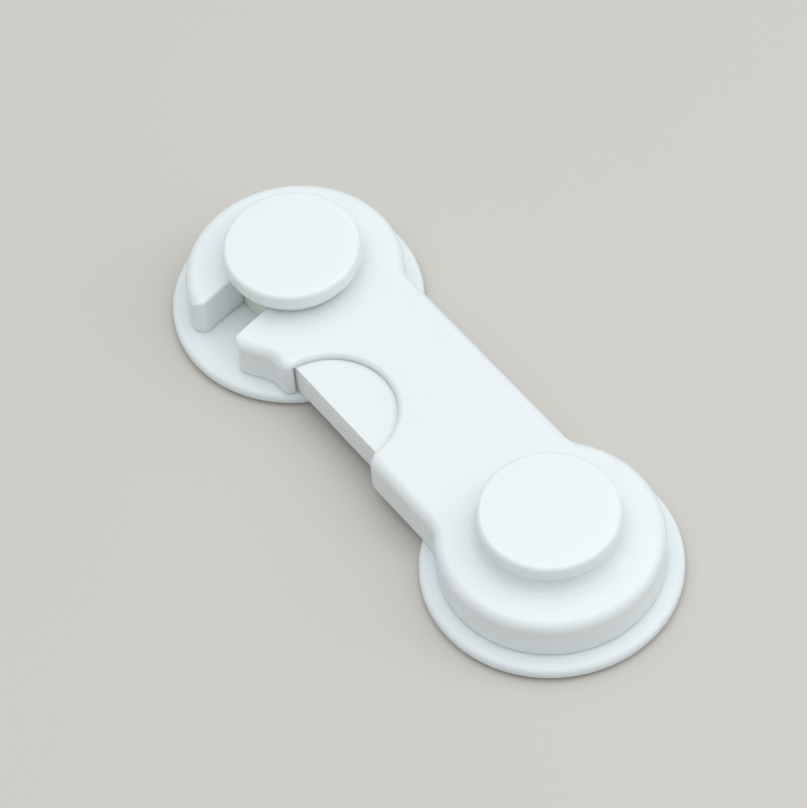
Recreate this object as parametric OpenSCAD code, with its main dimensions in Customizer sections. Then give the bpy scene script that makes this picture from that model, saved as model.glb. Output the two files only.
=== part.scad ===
// Swing-arm cabinet lock: two stick-on bases, a hooked arm that turns on one of them, and a side trigger.
// Millimetres. The origin is on the turning axis, in the face that is stuck to the furniture.
// +X runs from the turning axis to the latch axis, +Y is the trigger's side, +Z leaves the furniture.

/* [Bases] */
// Distance from the turning axis to the latch axis
axis_span = 70; // [68:1:80]
// Diameter of each round base
base_d = 43; // [41:0.5:50]
// Thickness of a base at its rim
base_rim_t = 1.8; // [1.6:0.1:2.6]
// Height of the base's flat middle above its rim
base_crown = 0.5; // [0.2:0.1:0.8]
// Width of the sloping border round the flat middle
base_slope_w = 3.5; // [2.5:0.1:5]
// Rounding of the rim's upper edge
base_edge_r = 0.9; // [0.4:0.1:1.2]

/* [Adhesive pads] */
// Width of the base's border left round each pad
pad_border = 2; // [1.5:0.1:4]
// Thickness of each pad
pad_t = 1.2; // [0.8:0.1:1.6]
// Depth that a pad is let into its base
pad_recess = 0.4; // [0.2:0.1:0.6]

/* [Posts and caps] */
// Diameter of the round post that the arm turns on
pivot_post_d = 12; // [10:0.5:13]
// Diameter of each button cap
cap_d = 23.2; // [22:0.2:26]
// Height of a cap's wide rim
cap_rim_h = 3.3; // [2.6:0.1:3.6]
// Rounding of the rim's upper edge
cap_edge_r = 0.8; // [0.6:0.1:1.6]
// How far the rim reaches past the cap's skirt
cap_overhang = 1.6; // [1:0.1:2]
// Height of the skirt under the rim
cap_skirt_h = 2.4; // [2:0.1:3]
// Diameter of the stem under each cap
cap_stem_d = 5.4; // [4.6:0.1:6]
// Length of the stem under each cap
cap_stem_l = 3.2; // [2:0.1:4]
// Shank diameter of the screws that hold base, post and cap together
post_screw_d = 2.6; // [2.2:0.1:3]
// Head diameter of those screws
post_screw_head_d = 4.8; // [4.4:0.1:5.6]
// Head height of those screws
post_screw_head_h = 1.2; // [0.9:0.1:1.4]

/* [Arm] */
// Diameter of both round ends of the arm
head_d = 37.2; // [36:0.2:40]
// Width of the neck between the round ends
neck_w = 28; // [26:0.5:30]
// Height of the arm
arm_h = 7.7; // [7.4:0.1:9]
// Rounding of the arm's upper edges
arm_edge_r = 2; // [0.8:0.1:2.2]
// Rounding of the corners between the neck and the round ends
neck_corner_r = 5; // [3:0.5:6]
// Side wall of the arm's shell
shell_wall = 1.6; // [1.2:0.1:2]
// Top wall of the arm's shell
shell_top_t = 1.2; // [1:0.1:1.6]
// Thickness of the bottom cover
cover_t = 1.5; // [1.2:0.1:1.8]
// How far the collar round the turning cap's skirt lies inside the cap's side
collar_inset = 0.2; // [0.1:0.05:0.4]
// Rounding of the corner at the collar's foot
collar_corner_r = 1.8; // [1:0.1:2.2]
// Wall of the boss round the turning bore, inside the arm
pivot_boss_wall = 1.92; // [1.5:0.01:2.5]

/* [Hook slot] */
// Width of the slot that slides round the latch post
slot_w = 8.6; // [8:0.2:10]
// Thickness of the hook behind the slot's closed end
hook_t = 10.1; // [9.5:0.1:11.5]
// How far the slot's middle line lies beyond the latch axis
slot_offset = 0.5; // [0:0.1:0.8]
// Clearance between the slot and the latch post
slot_clear = 0.3; // [0.2:0.05:0.5]
// Rounding of the upright corners at the slot's mouth
jaw_corner_r = 1.8; // [1:0.1:2.4]
// Rounding of the slot's upper edges
slot_edge_r = 0.5; // [0.3:0.1:0.8]

/* [Release trigger] */
// Distance from the latch axis back to the middle of the trigger
trigger_setback = 28.2; // [27.5:0.1:30]
// Length of the side notch that the trigger sits in, at the arm's side
notch_l = 24.4; // [23.6:0.2:26]
// Diameter of the round flares at the notch's ends
flare_d = 14; // [12:0.5:16]
// Angle that the flares open out by at the arm's side
flare_angle = 32; // [26:1:38]
// Rounding of the flares' upper edge
flare_edge_r = 1.5; // [1:0.1:1.8]
// Distance from the inside of the arm's side wall in to the trigger's face
trigger_inset = 0.4; // [0.2:0.1:1.4]
// Thickness of the trigger's top plate
trigger_plate_t = 1.9; // [1.6:0.1:2]
// Thickness of the trigger's front wall
trigger_face_t = 1.8; // [1.4:0.1:2.2]
// Thickness of the trigger's back wall
trigger_back_t = 1.5; // [1.2:0.1:1.8]
// Travel of the trigger into the arm
trigger_travel = 3; // [2:0.1:3.2]
// Distance from the notch's ends in to the half-moon window over the trigger
window_margin = 0.8; // [0.4:0.1:2]
// Distance from the arm's side in to the window's middle
window_inset = 0.6; // [0:0.1:1.5]
// Rounding of the window's upper edge
window_edge_r = 1; // [0.5:0.1:1]

/* [Lock bolt] */
// Width of the bolt
bolt_w = 4; // [3.2:0.1:4.4]
// Distance from the trigger's latch end to the bolt's pin
pin_inset = 3.1; // [2.6:0.1:4]
// Diameter of the pin that the trigger draws the bolt by
pin_d = 2; // [1.6:0.1:2.2]
// Depth of the pocket in the latch post that the bolt enters
bolt_pocket = 2; // [1.2:0.1:2.2]

/* [Trigger springs] */
// Length of each spring at rest, from the arm's side to the trigger's back
spring_l = 7.4; // [6.6:0.1:8]
// Distance from the trigger's ends in to the springs
spring_inset = 4; // [3:0.1:5]
// Clearance above and below each spring
spring_gap = 0.35; // [0.3:0.05:0.6]
// Wire diameter of each spring
spring_wire_d = 0.5; // [0.4:0.05:0.6]
// Number of turns in each spring
spring_turns = 5; // [3:1:6]

/* [Washers] */
// Thickness of the slip washer under the arm
slip_washer_t = 0.3; // [0.2:0.05:0.5]
// Width of the base's flat left round the slip washer
slip_washer_margin = 3; // [2:0.1:5]
// Thickness of the wave washer under the turning cap
wave_washer_t = 0.3; // [0.2:0.05:0.4]
// Width of the cap's skirt left round the wave washer
wave_washer_margin = 1.2; // [0.8:0.1:1.8]

/* [Cover screws] */
// Shank diameter of the cover screws
cover_screw_d = 2; // [1.8:0.1:2.2]
// Head diameter of the cover screws
cover_screw_head_d = 3.8; // [3.4:0.1:4]
// Head height of the cover screws
cover_screw_head_h = 1; // [0.8:0.1:1.1]
// Length of the cover screws
cover_screw_l = 4.6; // [4:0.1:5]
// Diameter of the bosses that the cover screws bite into
cover_boss_d = 5.2; // [4.6:0.1:5.4]
// Bearing of the cover screws in the turning end, to each side of its far point
pivot_screw_angle = 50; // [40:1:60]
// Bearing of the cover screw in the hook, from the arm's length
hook_screw_angle = 20; // [15:1:25]

/* [Hidden] */
$fn = 96;

// Clearances
run_fit = 0.08;
seat_fit = 0.05;
cover_fit = 0.1;
slide_gap = 0.2;
axial_gap = 0.1;
bolt_gap = 0.3;
back_gap = 0.5;
hole_gap = 0.2;
cut = 1;

// Heights, from the furniture up
pad_d = base_d - 2*pad_border;
base_z = pad_t - pad_recess;
base_shoulder_z = base_z + base_rim_t;
base_top_z = base_shoulder_z + base_crown;
slip_washer_z = base_top_z + seat_fit - slip_washer_t;
arm_z = base_top_z + axial_gap;
arm_top_z = arm_z + arm_h;
cover_top_z = arm_z + cover_t;
ceiling_z = arm_top_z - shell_top_t;
cap_z = arm_top_z + slide_gap;
wave_washer_z = cap_z - axial_gap - wave_washer_t;
cap_rim_z = cap_z + cap_skirt_h;
cap_top_z = cap_rim_z + cap_rim_h;

// Posts and their screws
head_r = head_d/2;
pivot_bore_d = pivot_post_d + 2*run_fit;
pivot_boss_d = pivot_bore_d + 2*pivot_boss_wall;
cap_skirt_d = cap_d - 2*cap_overhang;
slip_washer_d = base_d - 2*(base_slope_w + slip_washer_margin);
wave_washer_d = cap_skirt_d - 2*wave_washer_margin;
collar_r = cap_d/2 - collar_inset;
collar_bore_r = cap_skirt_d/2 + slide_gap;
collar_h = cap_skirt_h;
collar_root = shell_top_t/2;
peg_d = 1.6;
peg_h = 1;
peg_ring = (cap_stem_d + pivot_post_d)/4;
screw_top_cover = 1.6;
post_screw_l = cap_top_z - screw_top_cover - pad_t;
post_bore_d = post_screw_d + 2*seat_fit;

// Slot and latch post, round the turning axis
slot_mid_r = axis_span + slot_offset;
slot_in_r = slot_mid_r - slot_w/2;
slot_out_r = slot_mid_r + slot_w/2;
post_in_r = slot_in_r + slot_clear;
post_out_r = slot_out_r - slot_clear;
slot_back_y = head_r - hook_t;
latch_post_l = 2*(slot_back_y - slot_clear);

// Distances of rounded corners' middles from their two faces, just under the radius so that they cross
corner_seat_share = 0.98;
jaw_seat_r = corner_seat_share*jaw_corner_r;
neck_seat_share = 0.995;
neck_seat_r = neck_seat_share*neck_corner_r;
collar_seat_r = neck_seat_share*collar_corner_r;

// Trigger, bolt and springs
side_y = neck_w/2;
inner_y = side_y - shell_wall;
trigger_mid = axis_span - trigger_setback;
trigger_face_y = inner_y - trigger_inset;
trigger_back_y = spring_l - inner_y;
trigger_depth = trigger_face_y - trigger_back_y;
trigger_w = notch_l - 2*slide_gap;
window_d = notch_l - 2*window_margin;
trigger_top_z = ceiling_z - axial_gap;
trigger_foot_z = arm_z + bolt_gap;
trigger_back_z = cover_top_z + slide_gap;
plate_z = trigger_top_z - trigger_plate_t;
guide_l = 9;
bolt_z = cover_top_z + axial_gap;
bolt_top_z = plate_z - slide_gap;
bolt_nose_x = slot_in_r - bolt_gap;
bolt_y = trigger_back_y + trigger_back_t + back_gap + bolt_w/2;
bolt_side_y = bolt_y - bolt_w/2;
pin_x = trigger_mid + trigger_w/2 - pin_inset;
bolt_tail_x = pin_x - bolt_w/2;
bolt_l = bolt_nose_x - bolt_tail_x;
bolt_room = bolt_top_z + slide_gap - cover_top_z;
rail_w = 1.2;
rail_l = 5.6;
rail_h = 2;
rail_x = slot_in_r - shell_wall - rail_l - bolt_gap;
spring_z = (cover_top_z + ceiling_z)/2;
spring_d = ceiling_z - cover_top_z - 2*spring_gap;
spring_peg_gap = 0.4;
spring_peg_d = spring_d - 2*(spring_wire_d + spring_peg_gap);
spring_peg_l = 1.6;
coil_r = (spring_d - spring_wire_d)/2;
coil_rise = spring_l - spring_wire_d - 2*seat_fit;
coil_lead = coil_rise/(2*PI*spring_turns);
coil_rings = 8;
coil_sides = 6;

// Place along the arm of the trigger spring on one side
function spring_x(side) = trigger_mid + side*(trigger_w/2 - spring_inset);

// Distances of the cover screws from the turning axis and from the latch axis
pivot_screw_ring = (pivot_boss_d/2 + head_r - shell_wall)/2;
latch_screw_ring = head_r - hook_t/2;

// Round disc with its upper edge rounded, standing on z = 0
module round_disc(d, h, edge) {
    rotate_extrude() {
        square([d/2 - edge, h]);
        square([d/2, h - edge]);
        translate([d/2 - edge, h - edge])
            intersection() {
                circle(edge);
                square(edge);
            }
    }
}

// Flat ring
module ring(inner_d, outer_d, t) {
    difference() {
        cylinder(d = outer_d, h = t);
        translate([0, 0, -cut])
            cylinder(d = inner_d, h = t + 2*cut);
    }
}

// Countersunk screw with its head down, its head's face on z = 0
module countersunk(d, l, head_d, head_h) {
    cylinder(d1 = head_d, d2 = d, h = head_h);
    cylinder(d = d, h = l);
}

// Hole for a countersunk screw, open below
module countersink(d, l, head_d, head_h, gap) {
    cylinder(d1 = head_d + 2*gap, d2 = d + 2*gap, h = head_h);
    translate([0, 0, -cut])
        cylinder(d = head_d + 2*gap, h = cut);
    cylinder(d = d + 2*gap, h = l + gap);
}

// Two small pegs, or the holes for them, beside a post's screw along Y
module pegs(d, h) {
    for (side = [-1, 1])
        translate([0, side*peg_ring, 0])
            cylinder(d = d, h = h);
}

// Base: a disc with a gently crowned top, let in below for the pad
module base_body() {
    difference() {
        translate([0, 0, base_z]) {
            round_disc(base_d, base_rim_t, base_edge_r);
            rotate_extrude()
                polygon([
                    [0, base_rim_t - base_edge_r],
                    [base_d/2 - base_edge_r, base_rim_t - base_edge_r],
                    [base_d/2 - base_edge_r, base_rim_t],
                    [base_d/2 - base_slope_w, base_rim_t + base_crown],
                    [0, base_rim_t + base_crown],
                ]);
        }
        cylinder(d = pad_d + 2*cover_fit, h = pad_t);
        translate([0, 0, pad_t])
            countersink(post_screw_d, base_top_z, post_screw_head_d, post_screw_head_h, seat_fit);
        translate([0, 0, base_top_z - peg_h - seat_fit])
            pegs(peg_d + 2*seat_fit, peg_h + cut);
    }
}

// Holes down a post: the screw, and a seat for the cap's stem
module post_holes() {
    translate([0, 0, base_top_z - peg_h - cut])
        cylinder(d = post_bore_d, h = cap_z);
    translate([0, 0, cap_z - cap_stem_l - seat_fit])
        cylinder(d = cap_stem_d + 2*seat_fit, h = cap_stem_l + cut);
}

// Button cap: a wide rim, a skirt down to the arm's top, a stem and the pilot hole of its screw
module cap_body() {
    difference() {
        union() {
            translate([0, 0, cap_rim_z])
                round_disc(cap_d, cap_rim_h, cap_edge_r);
            translate([0, 0, cap_z])
                cylinder(d = cap_skirt_d, h = cap_skirt_h + cap_edge_r);
            translate([0, 0, cap_z - cap_stem_l])
                cylinder(d = cap_stem_d, h = cap_stem_l + cap_edge_r);
        }
        translate([0, 0, cap_z - cap_stem_l - cut])
            cylinder(d = post_bore_d, h = pad_t + post_screw_l + seat_fit - cap_z + cap_stem_l + cut);
    }
}

module post_screw() {
    translate([0, 0, pad_t])
        countersunk(post_screw_d, post_screw_l, post_screw_head_d, post_screw_head_h);
}

// Arm's plan outline, drawn in by an inset
module arm_plan(inset) {
    for (x = [0, axis_span])
        translate([x, 0])
            circle(r = head_r - inset);
    translate([0, inset - side_y])
        square([axis_span, neck_w - 2*inset]);
}

// Curved slot, or the outline of the walls round it, open towards +Y
module slot_plan(in_r, out_r, back_y) {
    intersection() {
        difference() {
            circle(r = out_r);
            circle(r = in_r);
        }
        translate([axis_span - head_r, -back_y])
            square([head_d, back_y + head_r + cut]);
    }
}

// Where circles of two radii, round the turning axis and round the latch axis, cross on the trigger's side
function crossing(turn_r, latch_r) =
    let (along = (turn_r*turn_r + axis_span*axis_span - latch_r*latch_r)/(2*axis_span))
    [along, sqrt(turn_r*turn_r - along*along)];

// Middle of the rounded corner where a slot wall meets the round end.
// inward is 1 for the jaw inside the wall's radius and -1 for the jaw outside it.
function jaw_middle(wall_r, inward) = crossing(wall_r - inward*jaw_seat_r, head_r - jaw_seat_r);

// Piece of the plan between that middle and the sharp corner
module jaw_wedge(wall_r, inward) {
    middle = jaw_middle(wall_r, inward);
    to_rim = (middle - [axis_span, 0])/(head_r - jaw_seat_r);
    to_wall = inward*middle/norm(middle);
    polygon([
        middle,
        middle + to_rim*(jaw_corner_r + cut),
        crossing(wall_r, head_r) + (to_rim + to_wall)*cut,
        middle + to_wall*(jaw_corner_r + cut),
    ]);
}

// Scrap to cut from that corner
module jaw_corner(wall_r, inward) {
    difference() {
        jaw_wedge(wall_r, inward);
        translate(jaw_middle(wall_r, inward))
            circle(r = jaw_corner_r);
    }
}

// Scrap to cut from the upper edge of that corner
module jaw_rim(wall_r, inward) {
    inner_r = jaw_corner_r - slot_edge_r;
    intersection() {
        linear_extrude(slot_edge_r)
            jaw_wedge(wall_r, inward);
        translate(jaw_middle(wall_r, inward))
            rotate_extrude()
                difference() {
                    translate([inner_r, 0])
                        square([jaw_corner_r + cut, slot_edge_r]);
                    translate([inner_r, 0])
                        circle(slot_edge_r);
                }
    }
}

// Scrap to cut from the upper edges of the slot's two walls and its closed end
module slot_rim() {
    back_y = -slot_back_y - slot_edge_r;
    intersection() {
        rotate_extrude()
            difference() {
                translate([slot_in_r - slot_edge_r, 0])
                    square([slot_w + 2*slot_edge_r, slot_edge_r]);
                for (r = [slot_in_r - slot_edge_r, slot_out_r + slot_edge_r])
                    translate([r, 0])
                        circle(slot_edge_r);
            }
        translate([axis_span - head_r, 0, 0])
            rotate([90, 0, 90])
                linear_extrude(head_d)
                    difference() {
                        translate([back_y, 0])
                            square([head_d, slot_edge_r]);
                        translate([back_y, 0])
                            circle(slot_edge_r);
                    }
    }
}

// Filling that rounds the corner between a round end and the neck, standing on z = 0, from the end's axis.
// toward is the neck's direction along X, and side its side.
module neck_corner(toward, side) {
    out_y = side_y + neck_seat_r;
    out_r = head_r + neck_seat_r;
    middle = [toward*sqrt(out_r*out_r - out_y*out_y), side*out_y];
    reach = neck_corner_r + arm_edge_r + cut;
    difference() {
        linear_extrude(arm_h)
            polygon([middle, middle*(1 - reach/out_r), middle - [0, side*reach]]);
        translate(middle)
            rotate_extrude() {
                translate([0, -cut])
                    square([neck_corner_r, arm_h + cut]);
                translate([0, arm_h - arm_edge_r])
                    difference() {
                        square([neck_corner_r + arm_edge_r, arm_edge_r]);
                        translate([neck_corner_r + arm_edge_r, 0])
                            circle(arm_edge_r);
                    }
            }
    }
}

// Arm's outer body: two round ends and a neck, all with rounded upper edges
module arm_body() {
    translate([0, 0, arm_z]) {
        for (x = [0, axis_span])
            translate([x, 0, 0])
                round_disc(head_d, arm_h, arm_edge_r);
        rotate([90, 0, 90])
            linear_extrude(axis_span) {
                translate([-side_y, 0])
                    square([neck_w, arm_h - arm_edge_r]);
                translate([arm_edge_r - side_y, 0])
                    square([neck_w - 2*arm_edge_r, arm_h]);
                for (side = [-1, 1])
                    translate([side*(side_y - arm_edge_r), arm_h - arm_edge_r])
                        circle(arm_edge_r);
            }
        for (side = [-1, 1]) {
            neck_corner(1, side);
            translate([axis_span, 0, 0])
                neck_corner(-1, side);
        }
    }
}

// Collar on the arm round the turning cap's skirt, its foot rounded into the arm's top
module arm_collar() {
    translate([0, 0, arm_top_z - collar_root])
        rotate_extrude() {
            translate([collar_bore_r, 0])
                square([collar_r - collar_bore_r, collar_root + collar_h]);
            translate([collar_r, 0])
                difference() {
                    square([collar_corner_r, collar_root + collar_corner_r]);
                    translate([collar_seat_r, collar_root + collar_seat_r])
                        circle(collar_corner_r);
                }
        }
}

// Plan of the hollow inside the arm, drawn in by a fit
module hollow_plan(fit) {
    wall = shell_wall + fit;
    difference() {
        arm_plan(wall);
        slot_plan(slot_in_r - wall, slot_out_r + wall, slot_back_y + wall);
        circle(d = pivot_boss_d + 2*fit);
    }
}

// Carries its children to each cover screw's place
module at_cover_screws() {
    for (side = [-1, 1])
        rotate(180 + side*pivot_screw_angle)
            translate([pivot_screw_ring, 0, 0])
                children();
    for (bearing = [-90, hook_screw_angle])
        translate([axis_span, 0, 0])
            rotate(bearing)
                translate([latch_screw_ring, 0, 0])
                    children();
}

// Round cut right through the arm, with a rounded upper edge
module round_cut(d, edge) {
    translate([0, 0, arm_z - cut])
        cylinder(d = d, h = arm_h + 2*cut);
    translate([0, 0, arm_top_z - edge])
        rotate_extrude()
            difference() {
                square([d/2 + edge, edge]);
                translate([d/2 + edge, 0])
                    circle(edge);
            }
}

// Half-moon cut for the trigger, through the arm's top wall and side wall, flared at the arm's side
module trigger_cut() {
    flare_x = notch_l/2 - flare_d/2*cos(flare_angle);
    flare_y = side_y + flare_d/2*sin(flare_angle);
    translate([trigger_mid, side_y - window_inset, 0])
        round_cut(window_d, window_edge_r);
    for (side = [-1, 1])
        translate([trigger_mid + side*flare_x, flare_y, 0])
            round_cut(flare_d, flare_edge_r);
}

// Everything inside the shell: the hollow less its bosses, trigger guides and spring pegs
module shell_hollow() {
    difference() {
        translate([0, 0, arm_z - cut])
            linear_extrude(ceiling_z - arm_z + cut)
                hollow_plan(0);
        translate([0, 0, cover_top_z])
            at_cover_screws()
                cylinder(d = cover_boss_d, h = arm_h);
        for (side = [-1, 1]) {
            translate([trigger_mid + side*(notch_l + shell_wall)/2, inner_y - guide_l/2, cover_top_z])
                translate([-shell_wall/2, -guide_l/2, 0])
                    cube([shell_wall, guide_l, arm_h]);
            translate([spring_x(side), -inner_y - cut, spring_z])
                rotate([-90, 0, 0])
                    cylinder(d = spring_peg_d, h = spring_peg_l + cut);
        }
    }
}

module pivot_base() {
    color("whitesmoke")
        difference() {
            base_body();
            translate([0, 0, slip_washer_z])
                ring(pivot_post_d + hole_gap, slip_washer_d + 2*hole_gap, slip_washer_t);
        }
}

module latch_base() {
    color("whitesmoke")
        translate([axis_span, 0, 0])
            base_body();
}

module pivot_adhesive_pad() {
    color("gainsboro")
        cylinder(d = pad_d, h = pad_t);
}

module latch_adhesive_pad() {
    color("gainsboro")
        translate([axis_span, 0, 0])
            cylinder(d = pad_d, h = pad_t);
}

module pivot_post() {
    color("ivory")
        difference() {
            union() {
                translate([0, 0, base_top_z])
                    cylinder(d = pivot_post_d, h = cap_z - base_top_z);
                translate([0, 0, base_top_z - peg_h])
                    pegs(peg_d, peg_h + cut);
            }
            post_holes();
        }
}

module latch_post() {
    color("ivory")
        difference() {
            union() {
                translate([0, 0, base_top_z])
                    linear_extrude(cap_z - base_top_z)
                        intersection() {
                            slot_plan(post_in_r, post_out_r, latch_post_l/2);
                            translate([axis_span - head_r, -latch_post_l/2])
                                square([head_d, latch_post_l]);
                        }
                translate([axis_span, 0, base_top_z - peg_h])
                    pegs(peg_d, peg_h + cut);
            }
            translate([axis_span, 0, 0])
                post_holes();
            translate([post_in_r - cut, bolt_side_y - bolt_gap, bolt_z - bolt_gap])
                cube([bolt_pocket + cut, bolt_w + 2*bolt_gap, bolt_top_z - bolt_z + 2*bolt_gap]);
        }
}

module pivot_cap() {
    color("white")
        cap_body();
}

module latch_cap() {
    color("white")
        translate([axis_span, 0, 0])
            cap_body();
}

module pivot_screw() {
    color("silver")
        post_screw();
}

module latch_screw() {
    color("silver")
        translate([axis_span, 0, 0])
            post_screw();
}

module slip_washer() {
    color("lightgray")
        translate([0, 0, slip_washer_z])
            ring(pivot_post_d + 2*hole_gap, slip_washer_d, slip_washer_t);
}

module wave_washer() {
    color("silver")
        translate([0, 0, wave_washer_z])
            ring(pivot_post_d + 2*hole_gap, wave_washer_d, wave_washer_t);
}

module arm_shell() {
    color("white")
        difference() {
            union() {
                arm_body();
                arm_collar();
            }
            shell_hollow();
            translate([0, 0, arm_z - cut])
                cylinder(d = pivot_bore_d, h = arm_h + 2*cut);
            translate([0, 0, wave_washer_z - axial_gap])
                cylinder(d = wave_washer_d + 2*hole_gap, h = arm_h);
            translate([0, 0, arm_z - cut])
                linear_extrude(arm_h + 2*cut) {
                    slot_plan(slot_in_r, slot_out_r, slot_back_y);
                    jaw_corner(slot_in_r, 1);
                    jaw_corner(slot_out_r, -1);
                }
            translate([0, 0, arm_top_z - slot_edge_r]) {
                slot_rim();
                jaw_rim(slot_in_r, 1);
                jaw_rim(slot_out_r, -1);
            }
            trigger_cut();
            translate([bolt_nose_x - shell_wall - cut, bolt_side_y - slide_gap, cover_top_z])
                cube([shell_wall + bolt_gap + 2*cut, bolt_w + 2*slide_gap, bolt_room]);
            translate([0, 0, cover_top_z - cut])
                at_cover_screws()
                    cylinder(d = cover_screw_d + 2*seat_fit, h = cover_screw_l - cover_t + cut + seat_fit);
        }
}

module cover_countersink() {
    countersink(cover_screw_d, cover_t + cut, cover_screw_head_d, cover_screw_head_h, seat_fit);
}

module arm_bottom_cover() {
    notch_y = trigger_face_y - trigger_face_t - trigger_travel - slide_gap;
    color("white")
        difference() {
            union() {
                translate([0, 0, arm_z])
                    linear_extrude(cover_t)
                        hollow_plan(cover_fit);
                for (side = [-1, 1])
                    translate([rail_x, bolt_y + side*((bolt_w + rail_w)/2 + slide_gap) - rail_w/2, arm_z])
                        cube([rail_l, rail_w, cover_t + rail_h]);
            }
            translate([trigger_mid - notch_l/2, notch_y, arm_z - cut])
                cube([notch_l, neck_w, cover_t + 2*cut]);
            translate([0, 0, arm_z])
                at_cover_screws()
                    cover_countersink();
        }
}

module cover_screws() {
    color("silver")
        translate([0, 0, arm_z])
            at_cover_screws()
                countersunk(cover_screw_d, cover_screw_l, cover_screw_head_d, cover_screw_head_h);
}

module release_trigger() {
    slot_gap_d = pin_d + 2*axial_gap;
    color("white")
        difference() {
            union() {
                translate([trigger_mid - trigger_w/2, trigger_back_y, plate_z])
                    cube([trigger_w, trigger_depth, trigger_plate_t]);
                translate([trigger_mid - trigger_w/2, trigger_face_y - trigger_face_t, trigger_foot_z])
                    cube([trigger_w, trigger_face_t, trigger_top_z - trigger_foot_z]);
                translate([trigger_mid - trigger_w/2, trigger_back_y, trigger_back_z])
                    cube([trigger_w, trigger_back_t, trigger_top_z - trigger_back_z]);
                for (side = [-1, 1])
                    translate([spring_x(side), trigger_back_y + trigger_back_t/2, spring_z])
                        rotate([90, 0, 0])
                            cylinder(d = spring_peg_d, h = spring_peg_l + trigger_back_t/2);
            }
            translate([pin_x, bolt_y, plate_z - cut]) {
                cylinder(d = slot_gap_d, h = trigger_plate_t + 2*cut);
                translate([-trigger_travel, trigger_travel, 0])
                    cylinder(d = slot_gap_d, h = trigger_plate_t + 2*cut);
                rotate(135)
                    translate([0, -slot_gap_d/2, 0])
                        cube([trigger_travel*sqrt(2), slot_gap_d, trigger_plate_t + 2*cut]);
            }
        }
}

module lock_bolt() {
    color("ivory")
        difference() {
            translate([bolt_tail_x, bolt_side_y, bolt_z])
                cube([bolt_l, bolt_w, bolt_top_z - bolt_z]);
            translate([pin_x, bolt_y, bolt_z - cut])
                cylinder(d = pin_d + 2*seat_fit, h = bolt_top_z - bolt_z + 2*cut);
        }
}

module bolt_pin() {
    color("silver")
        translate([pin_x, bolt_y, bolt_z])
            cylinder(d = pin_d, h = trigger_top_z - bolt_z - axial_gap);
}

// Middle of the wire after a turn in degrees, and the wire's outline there
function coil_middle(turn) = [coil_r*cos(turn), coil_r*sin(turn), coil_rise*turn/(360*spring_turns)];
function coil_across(turn) = [coil_lead*sin(turn), -coil_lead*cos(turn), coil_r];
function coil_ring(turn) = [
    for (k = [0:coil_sides - 1])
        let (a = 360*k/coil_sides, across = coil_across(turn)/norm(coil_across(turn)))
        coil_middle(turn) + spring_wire_d/2*(cos(a)*[cos(turn), sin(turn), 0] + sin(a)*across)
];

// Coil of round wire along +Z, its first wire middle at z = 0
module coil() {
    steps = spring_turns*coil_rings;
    points = [for (i = [0:steps]) each coil_ring(360*i/coil_rings)];
    sides = [
        for (i = [0:steps - 1], k = [0:coil_sides - 1])
            let (a = i*coil_sides + k, b = i*coil_sides + (k + 1)%coil_sides)
            each [[a, a + coil_sides, b + coil_sides], [a, b + coil_sides, b]]
    ];
    start = [for (k = [0:coil_sides - 1]) k];
    end = [for (k = [coil_sides - 1:-1:0]) steps*coil_sides + k];
    polyhedron(points, concat(sides, [start, end]));
}

// Least gap between neighbouring turns, measured between wire middles
coil_gap = min([
    for (i = [0:coil_rings])
        norm(coil_middle(360 + 360*i/coil_rings) - coil_middle(360*i/coil_rings)) - spring_wire_d
]);
echo(coil_gap = coil_gap);

// Trigger spring on one side of the trigger's middle
module trigger_spring(side) {
    color("silver")
        translate([spring_x(side), trigger_back_y - seat_fit - spring_wire_d/2, spring_z])
            rotate([90, 0, 0])
                coil();
}

pivot_base();
latch_base();
pivot_adhesive_pad();
latch_adhesive_pad();
pivot_post();
latch_post();
pivot_cap();
latch_cap();
pivot_screw();
latch_screw();
slip_washer();
wave_washer();
arm_shell();
arm_bottom_cover();
cover_screws();
release_trigger();
trigger_spring(-1);  // near_trigger_spring
trigger_spring(1);  // far_trigger_spring
lock_bolt();
bolt_pin();
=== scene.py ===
from math import cos, pi, radians, sin

import bmesh
import bpy
from mathutils import Matrix, Vector


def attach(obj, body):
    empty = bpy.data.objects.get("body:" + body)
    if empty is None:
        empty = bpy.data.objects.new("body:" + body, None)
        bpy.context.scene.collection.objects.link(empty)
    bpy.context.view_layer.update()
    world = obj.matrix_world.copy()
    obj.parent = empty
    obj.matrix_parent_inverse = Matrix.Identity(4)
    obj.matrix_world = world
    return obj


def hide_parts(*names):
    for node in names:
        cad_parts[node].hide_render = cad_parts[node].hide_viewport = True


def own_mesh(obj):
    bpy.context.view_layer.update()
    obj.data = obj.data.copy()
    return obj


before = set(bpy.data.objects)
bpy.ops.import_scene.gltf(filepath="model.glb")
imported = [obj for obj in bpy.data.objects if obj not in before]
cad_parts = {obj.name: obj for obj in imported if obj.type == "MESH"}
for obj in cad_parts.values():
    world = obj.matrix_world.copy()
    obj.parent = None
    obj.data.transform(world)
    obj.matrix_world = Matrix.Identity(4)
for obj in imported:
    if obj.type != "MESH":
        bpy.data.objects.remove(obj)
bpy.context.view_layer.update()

# Sizes in millimetres, as on the solids
MM = 0.001
AXIS_SPAN = 70
PAD_R, PAD_T = 19.5, 1.2
BASE_R, BASE_Z, BASE_TOP_Z = 21.5, 0.8, 3.1
BASE_FLAT_R, BASE_RIM_Z, BASE_EDGE_R = 18, 2.43, 0.95
BASE_CROWN_R, GATE_BEARING = 14, 199
SCREW_BORE_R, COUNTERSINK_R, COUNTERSINK_Z = 1.35, 2.45, 2.4
CAP_R, CAP_RIM_Z, CAP_TOP_Z, CAP_EDGE_R, CAP_CROWN = 11.6, 13.5, 16.8, 0.8, 0.1
SKIRT_R, CAP_Z = 10.0, 11.1
STEM_R, STEM_Z, STEM_SEAT_R, STEM_SEAT_Z, PILOT_TOP_Z = 2.7, 7.9, 2.75, 7.85, 15.25
POST_R = 6
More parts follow.
